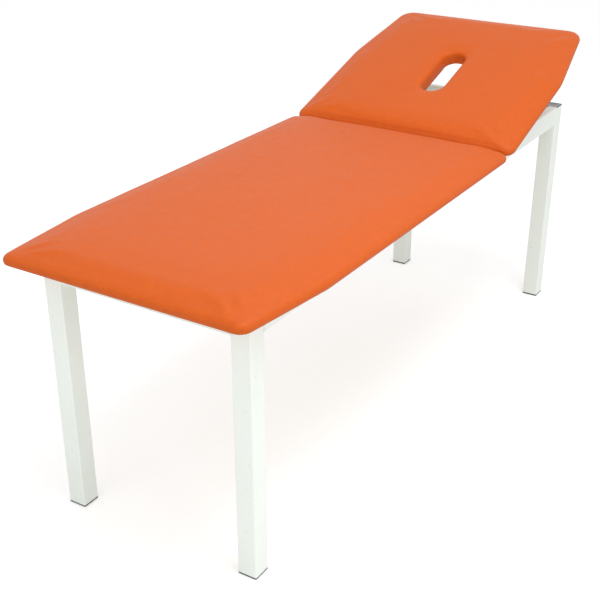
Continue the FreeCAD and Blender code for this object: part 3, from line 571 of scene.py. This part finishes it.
def slot_loop(grow):
    """The face slot's outline, widened by grow; its ends are just short of half circles."""
    radius = SLOT_RADIUS + grow
    half = SLOT_HALF + grow
    corners = []
    for x_sign, y_sign in ((-1, -1), (1, -1), (1, 1), (-1, 1)):
        corners.append(((SLOT_CENTRE + x_sign * half, y_sign * radius), SLOT_ROUND * radius))
    return rounded_loop(corners, SLOT_ARC, SLOT_RUNS)


# Padded sections
def pad_profile(shrink):
    """Insets and heights from a pad's bottom edge up to its crown, shrunk all over."""
    rows = [(inset * LIP_INSET, height * LIP) for inset, height in LIP_ROWS]
    rise = PAD_EDGE - LIP - shrink
    for step in range(1, EDGE_STEPS + 1):
        angle = math.pi / 2 * step / EDGE_STEPS
        rows.append((EDGE_REACH * (1 - math.cos(angle)), LIP + rise * math.sin(angle)))
    for share, count in CROWN_ROWS:
        rows.append((EDGE_REACH + count * CROWN_STEP, PAD_EDGE - shrink + share * CROWN))
    return [(inset + shrink * min(1.0, height / LIP), height) for inset, height in rows]


def slot_profile(shrink):
    """Widenings and heights from the face slot's bottom edge up to its rounded rim."""
    top = LIFT + PAD_EDGE + CROWN - shrink
    rows = [(0.0, LIFT), (0.0, LIFT + 0.5 * PAD_EDGE)]
    for step in range(SLOT_STEPS + 1):
        angle = math.pi / 2 * step / SLOT_STEPS
        rows.append((SLOT_RIM * (1 - math.cos(angle)), top - SLOT_RIM + SLOT_RIM * math.sin(angle)))
    return rows


def closed_pad(name, loop, with_slot, shrink):
    """A closed pad in the hinge's own directions, before its cover is drawn tight."""
    bm = bmesh.new()
    rings = [ring_of(bm, loop(inset), LIFT + height) for inset, height in pad_profile(shrink)]
    bridge(bm, rings)
    lids = [[rings[0]], [rings[-1]]]
    if with_slot:
        slot_rings = [ring_of(bm, slot_loop(grow), height) for grow, height in slot_profile(shrink)]
        bridge(bm, slot_rings)
        lids[0].append(slot_rings[0])
        lids[1].append(slot_rings[-1])
    for lid in lids:
        edges = [edge for ring in lid for edge in edges_of(ring)]
        bmesh.ops.triangle_fill(bm, use_beauty=True, edges=edges)
    return mesh_object(name, bm, [VINYL])


def remesh(piece):
    modifier = piece.modifiers.new("remesh", "REMESH")
    modifier.mode = "VOXEL"
    modifier.voxel_size = VOXEL
    modifier.use_smooth_shade = True
    bake_modifiers(piece)


def draw_tight(piece, held):
    """Swell the pad under its cover with cloth; held says which points stay on the board."""
    before = read_points(piece.data)
    group = piece.vertex_groups.new(name="held")
    group.add([int(index) for index in np.nonzero(held)[0]], 1.0, "REPLACE")
    modifier = piece.modifiers.new("cloth", "CLOTH")
    settings = modifier.settings
    settings.quality = 4
    settings.mass = 0.4
    settings.tension_stiffness = 18
    settings.compression_stiffness = 18
    settings.shear_stiffness = 8
    settings.bending_stiffness = 3
    settings.use_pressure = True
    settings.uniform_pressure_force = CLOTH_PRESSURE
    settings.effector_weights.gravity = 0
    settings.vertex_group_mass = group.name
    modifier.collision_settings.use_collision = False
    modifier.collision_settings.use_self_collision = False
    modifier.point_cache.frame_start = 1
    modifier.point_cache.frame_end = CLOTH_STEPS
    scene = bpy.context.scene
    for step in range(1, CLOTH_STEPS + 1):
        scene.frame_set(step)
    bake_modifiers(piece)
    scene.frame_set(1)
    piece.vertex_groups.clear()
    move = read_points(piece.data) - before
    length = np.linalg.norm(move, axis=1, keepdims=True)
    limit = SWELL_LIMIT * np.tanh(length / SWELL_LIMIT) / np.maximum(length, TINY)
    write_points(piece.data, before + move * limit)


def soften(piece, held, rounds):
    """Even out the points that aren't held."""
    bm = bmesh.new()
    bm.from_mesh(piece.data)
    bm.verts.ensure_lookup_table()
    free = [vert for vert in bm.verts if not held[vert.index]]
    for _ in range(rounds):
        bmesh.ops.smooth_vert(
            bm, verts=free, factor=0.5, use_axis_x=True, use_axis_y=True, use_axis_z=True)
    bm.to_mesh(piece.data)
    bm.free()


def inside_distance(places, loop):
    """How far points lie inside a loop, and the directions from them straight out through it."""
    starts = np.array(loop)
    spans = np.roll(starts, -1, axis=0) - starts
    best = np.full(len(places), np.inf)
    nearest = np.zeros((len(places), 2))
    inside = np.zeros(len(places), dtype=bool)
    for start, span in zip(starts, spans):
        share = np.clip(((places - start) @ span) / max(span @ span, TINY), 0, 1)
        spot = start + share[:, None] * span
        gap = np.hypot(*(places - spot).T)
        closer = gap < best
        best[closer] = gap[closer]
        nearest[closer] = spot[closer]
        rows = (start[1] > places[:, 1]) != (start[1] + span[1] > places[:, 1])
        rise = span[1] if abs(span[1]) > TINY else TINY
        crossing = start[0] + span[0] * (places[:, 1] - start[1]) / rise
        inside ^= rows & (places[:, 0] < crossing)
    sign = np.where(inside, 1.0, -1.0)
    outward = (nearest - places) * (sign / np.maximum(best, TINY))[:, None]
    return best * sign, outward


def true_edge(piece, loop):
    """Bring the lower side back to the pad's own outline, clear of the board behind it."""
    points = read_points(piece.data)
    height = points[:, 2] - LIFT
    low = np.nonzero(height < SIDE_TOP)[0]
    depth, outward = inside_distance(points[low, :2], loop(0.0))
    rows = pad_profile(0.0)
    wanted = np.interp(height[low], [row[1] for row in rows], [row[0] for row in rows])
    weight = np.clip((SIDE_TOP - height[low]) / SIDE_FADE, 0, 1) * (depth < SIDE_BAND)
    points[low, :2] += outward * ((depth - wanted) * weight)[:, None]
    write_points(piece.data, points)


def open_underside(piece):
    """Cut the underside off above its rough corner and draw a clean edge down, for the flap to close."""
    bm = bmesh.new()
    bm.from_mesh(piece.data)
    low = [face for face in bm.faces if min(vert.co.z for vert in face.verts) < LIFT + CUT_HEIGHT]
    bmesh.ops.delete(bm, geom=low, context="FACES")
    loose = [vert for vert in bm.verts if not vert.link_faces]
    bmesh.ops.delete(bm, geom=loose, context="VERTS")
    rim = [edge for edge in bm.edges if edge.is_boundary]
    drawn = bmesh.ops.extrude_edge_only(bm, edges=rim)["geom"]
    for item in drawn:
        if isinstance(item, bmesh.types.BMVert):
            item.co.z = LIFT
    bmesh.ops.recalc_face_normals(bm, faces=bm.faces)
    bm.to_mesh(piece.data)
    bm.free()


def subdivide(piece):
    modifier = piece.modifiers.new("fine", "SUBSURF")
    modifier.levels = 1
    modifier.render_levels = 1
    bake_modifiers(piece)


def pleat_corners(sign, tip, taper_size, corner):
    """Centre and radius of a pad's four rounded corners, and the angle at which each quarter starts."""
    half = HALF_WIDTH - corner - taper_size[1]
    seam_half = HALF_WIDTH - SEAM_CORNER
    seam_x = SEAM + SEAM_CORNER
    starts = (270, 0, 180, 90) if sign > 0 else (180, 90, 270, 0)
    places = ((tip - corner, -half, corner), (tip - corner, half, corner),
              (seam_x, -seam_half, SEAM_CORNER), (seam_x, seam_half, SEAM_CORNER))
    return [(sign * x, y, radius, start) for (x, y, radius), start in zip(places, starts)]


def gather_corners(piece, corners):
    """Small pleats low on the rounded corners, where the vinyl is drawn under the board."""
    points = read_points(piece.data)
    height = points[:, 2] - LIFT
    fade = np.clip(1 - height / PLEAT_TOP, 0, 1) ** PLEAT_FADE
    for x, y, radius, start in corners:
        dx = points[:, 0] - x
        dy = points[:, 1] - y
        reach = np.hypot(dx, dy)
        angle = np.degrees(np.arctan2(dy, dx))
        share = ((angle - start) % 360) / 90
        near = (share > 0) & (share < 1) & (reach > PLEAT_START * radius)
        wave = np.sin(share * math.pi * PLEAT_WAVES) * np.sin(np.clip(share, 0, 1) * math.pi)
        depth = np.where(near, PLEAT_DEPTH * fade * wave, 0)
        points[:, 0] += depth * dx / np.maximum(reach, TINY)
        points[:, 1] += depth * dy / np.maximum(reach, TINY)
    write_points(piece.data, points)


def hand_feel(piece, seed):
    """Low swells in the foam, so that the gloss isn't mirror-flat."""
    mesh = piece.data
    points = read_points(mesh)
    flat = np.empty(len(mesh.vertices) * 3)
    mesh.vertex_normals.foreach_get("vector", flat)
    normals = flat.reshape(-1, 3)
    lift = np.empty(len(points))
    for index, point in enumerate(points):
        place = Vector(point)
        lift[index] = sum(noise.noise(place * rate + seed) * depth for rate, depth in FOAM_SWELLS)
    lift *= np.clip((points[:, 2] - LIFT) / FOAM_FADE, 0, 1)
    write_points(mesh, points + normals * lift[:, None])


def cover_thickness(piece):
    """Give the cover its thickness, inwards, with the cloth backing inside."""
    modifier = piece.modifiers.new("skin", "SOLIDIFY")
    modifier.thickness = SKIN
    modifier.offset = -1.0
    modifier.material_offset = 1
    modifier.material_offset_rim = 0
    piece.data.materials.append(VINYL_BACK)
    bake_modifiers(piece)


def stay_above_rails(piece):
    """Let nothing of the cover hang below its flap, which lies just above the rails."""
    points = read_points(piece.data)
    points[:, 2] = np.maximum(points[:, 2], LIFT)
    write_points(piece.data, points)


def upholstered_pad(name, loop, with_slot, corners, seed):
    """A cushion under its cover: drawn tight, true at its lower edge, gathered at the corners."""
    pad = closed_pad(name, loop, with_slot, PAD_SHRINK)
    remesh(pad)
    held = read_points(pad.data)[:, 2] < LIFT + HELD_HEIGHT
    soften(pad, held, rounds=3)
    draw_tight(pad, held)
    soften(pad, held, rounds=2)
    true_edge(pad, loop)
    open_underside(pad)
    subdivide(pad)
    true_edge(pad, loop)
    gather_corners(pad, corners)
    hand_feel(pad, seed)
    cover_thickness(pad)
    stay_above_rails(pad)
    shade_smooth(pad.data)
    return pad


def flap_ring(name, outer, inner, seed):
    """The cover's edge under the board: turned up behind the lip, then a strip to an uneven cut."""
    bm = bmesh.new()
    rows = [ring_of(bm, outer, LIFT + FLAP_TURN)]
    cut_rate, cut_depth = CUT_WAVE
    ripple_rate, ripple_depth = RIPPLE_WAVE
    for share in FLAP_ROWS:
        row = []
        for outer_point, inner_point in zip(outer, inner):
            start = Vector((*outer_point, 0.0))
            end = Vector((*inner_point, 0.0))
            point = start.lerp(end, share)
            uneven = flat_noise(point.x, point.y, cut_rate, seed)
            point += (end - start).normalized() * uneven * cut_depth * share
            ripple = flat_noise(point.x, point.y, ripple_rate, seed + 5) * ripple_depth * share
            row.append(bm.verts.new((point.x, point.y, LIFT + abs(ripple))))
        rows.append(row)
    bridge(bm, rows)
    piece = mesh_object(name, bm, [VINYL, VINYL_BACK])
    modifier = piece.modifiers.new("skin", "SOLIDIFY")
    modifier.thickness = FLAP_SKIN
    modifier.offset = 1.0 if piece.data.polygons[-1].normal.z > 0 else -1.0
    bake_modifiers(piece)
    return piece


def staple_row(name, loops):
    """Staples through the flaps into the board: a crown and two legs each."""
    bm = bmesh.new()
    blocks = ((STAPLE_CROWN, (0, 0, 0)),
              (STAPLE_LEG, (STAPLE_LEG_X, 0, STAPLE_LEG_Z)),
              (STAPLE_LEG, (-STAPLE_LEG_X, 0, STAPLE_LEG_Z)))
    for loop in loops:
        travelled = 0.0
        for index, (x, y) in enumerate(loop):
            before = loop[index - 1]
            travelled += math.hypot(x - before[0], y - before[1])
            if travelled < STAPLE_SPACING:
                continue
            travelled = 0.0
            along = math.atan2(y - before[1], x - before[0])
            along += STAPLE_TWIST * flat_noise(x, y, rate=90, seed=1)
            spot = Matrix.Translation((x, y, LIFT + STAPLE_LIFT)) @ Matrix.Rotation(along, 4, "Z")
            for size, place in blocks:
                block = spot @ Matrix.Translation(place) @ Matrix.Diagonal((*size, 1.0))
                bmesh.ops.create_cube(bm, size=1.0, matrix=block)
    return mesh_object(name, bm, [ZINC], smooth=False)


def settle(piece, matrix, body):
    """Put a piece that was made in its body's directions in place, on that body."""
    piece.data.transform(matrix)
    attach(piece, body)


body_corners = pleat_corners(-1, FOOT_EDGE, FOOT_TAPER, FOOT_CORNER)
body_cushion = upholstered_pad(
    "body_cushion", body_loop, with_slot=False, corners=body_corners, seed=Vector((3.1, 0.4, 1.7)))
settle(body_cushion, body_matrix, "frame")
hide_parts("body_cover", "body_foam")

head_corners = pleat_corners(1, HEAD_EDGE, HEAD_TAPER, HEAD_CORNER)
head_cushion = upholstered_pad(
    "head_cushion", head_loop, with_slot=True, corners=head_corners, seed=Vector((8.7, 2.2, 5.3)))
settle(head_cushion, headrest_matrix, "headrest")
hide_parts("head_cover", "head_foam")

body_flap = flap_ring("body_flap", body_loop(FLAP_START), body_loop(FLAP), seed=2.0)
settle(body_flap, body_matrix, "frame")
head_flap = flap_ring("head_flap", head_loop(FLAP_START), head_loop(FLAP), seed=4.0)
settle(head_flap, headrest_matrix, "headrest")
slot_hem = flap_ring("head_slot_hem", slot_loop(HEM_START), slot_loop(HEM), seed=6.0)
settle(slot_hem, headrest_matrix, "headrest")

body_staples = staple_row("body_staples", [body_loop(STAPLE_INSET)])
settle(body_staples, body_matrix, "frame")
head_staples = staple_row("head_staples", [head_loop(STAPLE_INSET), slot_loop(STAPLE_HEM_INSET)])
settle(head_staples, headrest_matrix, "headrest")


# Caps, welds and screws
def rounded_square(half, corner, x, y):
    corners = [((x - half, y - half), corner), ((x + half, y - half), corner),
               ((x + half, y + half), corner), ((x - half, y + half), corner)]
    return rounded_loop(corners, CAP_ARC, CAP_RUNS)


def cap_profile():
    """Half widths and heights of a cap: a plug, a flange with a soft edge and a faintly dished top."""
    rows = [(CAP_PLUG_HALF, CAP_PLUG_FOOT), (CAP_PLUG_HALF, LEG_TOP), (LEG_HALF, LEG_TOP)]
    for step in range(CAP_STEPS + 1):
        angle = math.pi / 2 * step / CAP_STEPS
        rows.append((LEG_HALF - CAP_ROUND * (1 - math.cos(angle)),
                     CAP_TOP - CAP_ROUND * (1 - math.sin(angle))))
    return rows + [(LEG_HALF - inset, CAP_TOP - depth) for inset, depth in CAP_DISH_ROWS]


def leg_caps(name):
    """Caps on the four legs."""
    bm = bmesh.new()
    for x in LEG_X:
        for y in LEG_Y:
            rings = []
            for half, height in cap_profile():
                corner = max(CAP_CORNER - (LEG_HALF - half), CAP_CORNER_LEAST)
                rings.append(ring_of(bm, rounded_square(half, corner, x, y), height))
            closed_tube(bm, rings)
    piece = mesh_object(name, bm, [GLOSS])
    piece.data.set_sharp_from_angle(angle=CAP_SHARP)
    return piece


def bead(bm, path, radius):
    """A weld bead along a path in a plane square to X or Y: a rippled tube, half sunk in the tubes."""
    points = []
    for start, end in zip(path, path[1:]):
        count = max(2, int((end - start).length / BEAD_STEP))
        points += [start.lerp(end, step / count) for step in range(count)]
    points.append(path[-1])
    across = (path[1] - path[0]).cross(path[2] - path[1]).normalized()
    rings = []
    last = len(points) - 1
    for index, point in enumerate(points):
        along = (points[min(index + 1, last)] - points[max(index - 1, 0)]).normalized()
        out = along.cross(across)
        ripple = 1 + BEAD_RIPPLE_SHARE * math.cos(index * BEAD_STEP / BEAD_RIPPLE * 2 * math.pi)
        ripple += BEAD_UNEVEN_SHARE * noise.noise(point * BEAD_UNEVEN_RATE)
        taper = min(1.0, BEAD_TIP + BEAD_TIP_STEP * min(index, last - index))
        size = radius * ripple * taper
        ring = []
        for side in range(BEAD_SIDES):
            angle = 2 * math.pi * side / BEAD_SIDES
            ring.append(bm.verts.new(point + (across * math.cos(angle) + out * math.sin(angle)) * size))
        rings.append(ring)
    closed_tube(bm, rings)


def weld_beads(name):
    """Welds where the rails meet the legs, and where the cross rails meet the side rails."""
    bm = bmesh.new()
    for end, leg_x, edge in zip((-1, 1), LEG_X, FRAME_ENDS):
        face = leg_x - end * LEG_HALF
        inner_x = edge - end * RAIL_WIDTH
        outer_x = edge - end * BEAD_END_GAP
        for side in (-1, 1):
            inner_y = side * RAIL_INNER
            outer_y = side * (RAIL_OUTER - BEAD_END_GAP)
            bead(bm, [Vector((face, inner_y, BEAD_TOP)), Vector((face, inner_y, RAIL_BOTTOM)),
                      Vector((face, outer_y, RAIL_BOTTOM))], BEAD_RADIUS)
            post = side * (LEG_Y[1] - LEG_HALF)
            bead(bm, [Vector((inner_x, post, BEAD_TOP)), Vector((inner_x, post, RAIL_BOTTOM)),
                      Vector((outer_x, post, RAIL_BOTTOM))], BEAD_RADIUS)
    for cross_rail in ("foot_cross_rail", "hinge_cross_rail"):
        low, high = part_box(cross_rail)
        for y in (-RAIL_INNER, RAIL_INNER):
            bead(bm, [Vector((low.x, y, BEAD_TOP)), Vector((low.x, y, low.z)),
                      Vector((high.x, y, low.z)), Vector((high.x, y, BEAD_TOP))], BEAD_SMALL)
    return mesh_object(name, bm, [COAT])


def screw_spots(node, matrix):
    """Axis, lowest and highest point and head radius of each screw in a node."""
    clusters = []
    for point in node_points(node, matrix):
        for cluster in clusters:
            if math.hypot(point.x - cluster[0].x, point.y - cluster[0].y) < SCREW_APART:
                cluster.append(point)
                break
        else:
            clusters.append([point])
    spots = []
    for cluster in clusters:
        xs = [point.x for point in cluster]
        ys = [point.y for point in cluster]
        zs = [point.z for point in cluster]
        x = (min(xs) + max(xs)) / 2
        y = (min(ys) + max(ys)) / 2
        spots.append((x, y, min(zs), max(zs), (max(xs) - min(xs)) / 2))
    return spots


def cross_recess(x, y, radius):
    """Depth of the driver's cross in a screw head, from 0 to 1."""
    along = max(abs(x), abs(y))
    aside = min(abs(x), abs(y))
    wall = (RECESS_ARM * radius - aside) / (RECESS_WALL * radius)
    end = (RECESS_REACH * radius - along) / (RECESS_END * radius)
    return min(1.0, max(0.0, wall)) * min(1.0, max(0.0, end))


def head_rise(share, angle, radius):
    """Rise of a screw head's face at a share of its radius: a shallow dome with the cross sunk in."""
    reach = radius * share
    recess = cross_recess(reach * math.cos(angle), reach * math.sin(angle), radius)
    return SCREW_HEAD * (SCREW_DOME * share ** 4 + RECESS_DEPTH * recess)


def cross_head_screws(name, node, matrix, shank):
    """Pan-head screws with a cross recess; the heads face down."""
    bm = bmesh.new()
    angles = [2 * math.pi * side / SCREW_SIDES for side in range(SCREW_SIDES)]
    for x, y, low, high, radius in screw_spots(node, matrix):
        turned = SCREW_TURN * flat_noise(x, y, rate=50, seed=3)
        levels = []
        for step in range(1, SCREW_RINGS + 1):
            share = step / SCREW_RINGS
            levels.append((radius * share, [low + head_rise(share, angle, radius) for angle in angles]))
        for reach, height in ((radius, low + SCREW_HEAD), (shank, low + SCREW_HEAD), (shank, high)):
            levels.append((reach, [height] * SCREW_SIDES))
        rings = []
        for reach, heights in levels:
            ring = []
            for angle, height in zip(angles, heights):
                place = angle + turned
                spot = (x + reach * math.cos(place), y + reach * math.sin(place), height)
                ring.append(bm.verts.new(spot))
            rings.append(ring)
        closed_tube(bm, rings)
    piece = mesh_object(name, bm, [ZINC])
    piece.data.set_sharp_from_angle(angle=SCREW_SHARP)
    return piece


caps = leg_caps("leg_caps")
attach(caps, "frame")
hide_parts("leg_top_caps")

beads = weld_beads("weld_beads")
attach(beads, "frame")

# Screws, with their body, its directions and the radius of the shank in metres
for node, body, matrix, shank in (("board_screws", "frame", body_matrix, 0.0025),
                                  ("fixed_leaf_screws", "frame", body_matrix, 0.0018),
                                  ("moving_leaf_screws", "headrest", headrest_matrix, 0.0018),
                                  ("bracket_screws", "headrest", headrest_matrix, 0.002)):
    screws = cross_head_screws(node + "_driven", node, matrix, shank)
    settle(screws, matrix, body)
    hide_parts(node)

# Studio, with strengths at which a pale floor and background show as white
FLOOR_SIZE = 20.0
FLOOR_COLOUR = (0.86, 0.86, 0.86, 1)
FLOOR_GLOW = (0.36, 0.36, 0.36, 1)
SKY_LIGHT = 0.72
SKY_SEEN = 1.0


def stage_floor():
    """A pale floor that keeps the shadow, lifted towards white only where the camera sees it."""
    bm = bmesh.new()
    bmesh.ops.create_grid(bm, x_segments=2, y_segments=2, size=FLOOR_SIZE)
    mat, tree, bsdf = new_material("studio_floor")
    bsdf.inputs["Base Color"].default_value = FLOOR_COLOUR
    bsdf.inputs["Roughness"].default_value = 1.0
    bsdf.inputs["Specular IOR Level"].default_value = 0.0
    path = add_node(tree, "ShaderNodeLightPath")
    tree.links.new(path.outputs["Is Camera Ray"], bsdf.inputs["Emission Strength"])
    bsdf.inputs["Emission Color"].default_value = FLOOR_GLOW
    piece = mesh_object("studio_floor", bm, [mat])


def larger(tree, first, second):
    node = add_node(tree, "ShaderNodeMath", operation="MAXIMUM")
    tree.links.new(first, node.inputs[0])
    tree.links.new(second, node.inputs[1])
    return node.outputs["Value"]


def studio_world():
    """A white surrounding, dimmer as light than where it is seen directly or in a reflection."""
    world = bpy.data.worlds.new("studio")
    bpy.context.scene.world = world
    world.use_nodes = True
    tree = world.node_tree
    background = tree.nodes["Background"]
    rays = add_node(tree, "ShaderNodeLightPath").outputs
    seen = larger(tree, rays["Is Camera Ray"], rays["Is Transmission Ray"])
    seen = larger(tree, seen, rays["Is Glossy Ray"])
    strength = add_node(tree, "ShaderNodeMapRange", {"To Min": SKY_LIGHT, "To Max": SKY_SEEN})
    tree.links.new(seen, strength.inputs["Value"])
    tree.links.new(strength.outputs["Result"], background.inputs["Strength"])
    background.inputs["Color"].default_value = (1, 1, 1, 1)


def area_light(name, place, target, size, power):
    lamp = bpy.data.lights.new(name, "AREA")
    lamp.shape = "RECTANGLE"
    lamp.size, lamp.size_y = size
    lamp.energy = power
    piece = new_object(name, lamp)
    piece.location = place
    piece.rotation_euler = (Vector(target) - Vector(place)).to_track_quat("-Z", "Y").to_euler()


stage_floor()
studio_world()
area_light("key_side", place=(-0.6, -3.3, 1.6), target=(-0.2, 0.0, 0.6), size=(3.4, 1.8), power=17)
area_light("top_soft", place=(-0.3, -0.8, 3.1), target=(-0.6, 0.0, 0.7), size=(1.8, 1.4), power=39)
area_light("foot_fill", place=(-3.6, 0.2, 1.4), target=(0.0, 0.0, 0.5), size=(2.4, 1.6), power=15)
area_light("edge_glint", place=(-1.6, -2.5, 1.0), target=(-0.95, -0.33, 0.7), size=(0.7, 0.7), power=4)

# Camera at the photograph's viewing angle, in metres; the sensor and the lens are in millimetres
CAMERA_PLACE = Vector((-2.4354, -1.3746, 1.6384))
CAMERA_AIM = Vector((0.75716, 0.46679, -0.45697))
CAMERA_ROLL = math.radians(0.145)
CAMERA_SENSOR = 36.0
CAMERA_LENS = 64.44
CAMERA_SHIFT = (-0.0087, 0.0368)
CAMERA_FAR = 100

camera_data = bpy.data.cameras.new("camera")
camera = new_object("camera", camera_data)
camera.matrix_world = (Matrix.Translation(CAMERA_PLACE)
                       @ CAMERA_AIM.to_track_quat("-Z", "Y").to_matrix().to_4x4()
                       @ Matrix.Rotation(CAMERA_ROLL, 4, "Z"))
camera_data.sensor_width = CAMERA_SENSOR
camera_data.lens = CAMERA_LENS
camera_data.shift_x, camera_data.shift_y = CAMERA_SHIFT
camera_data.clip_end = CAMERA_FAR
bpy.context.scene.camera = camera
bpy.context.scene.view_settings.view_transform = "Standard"
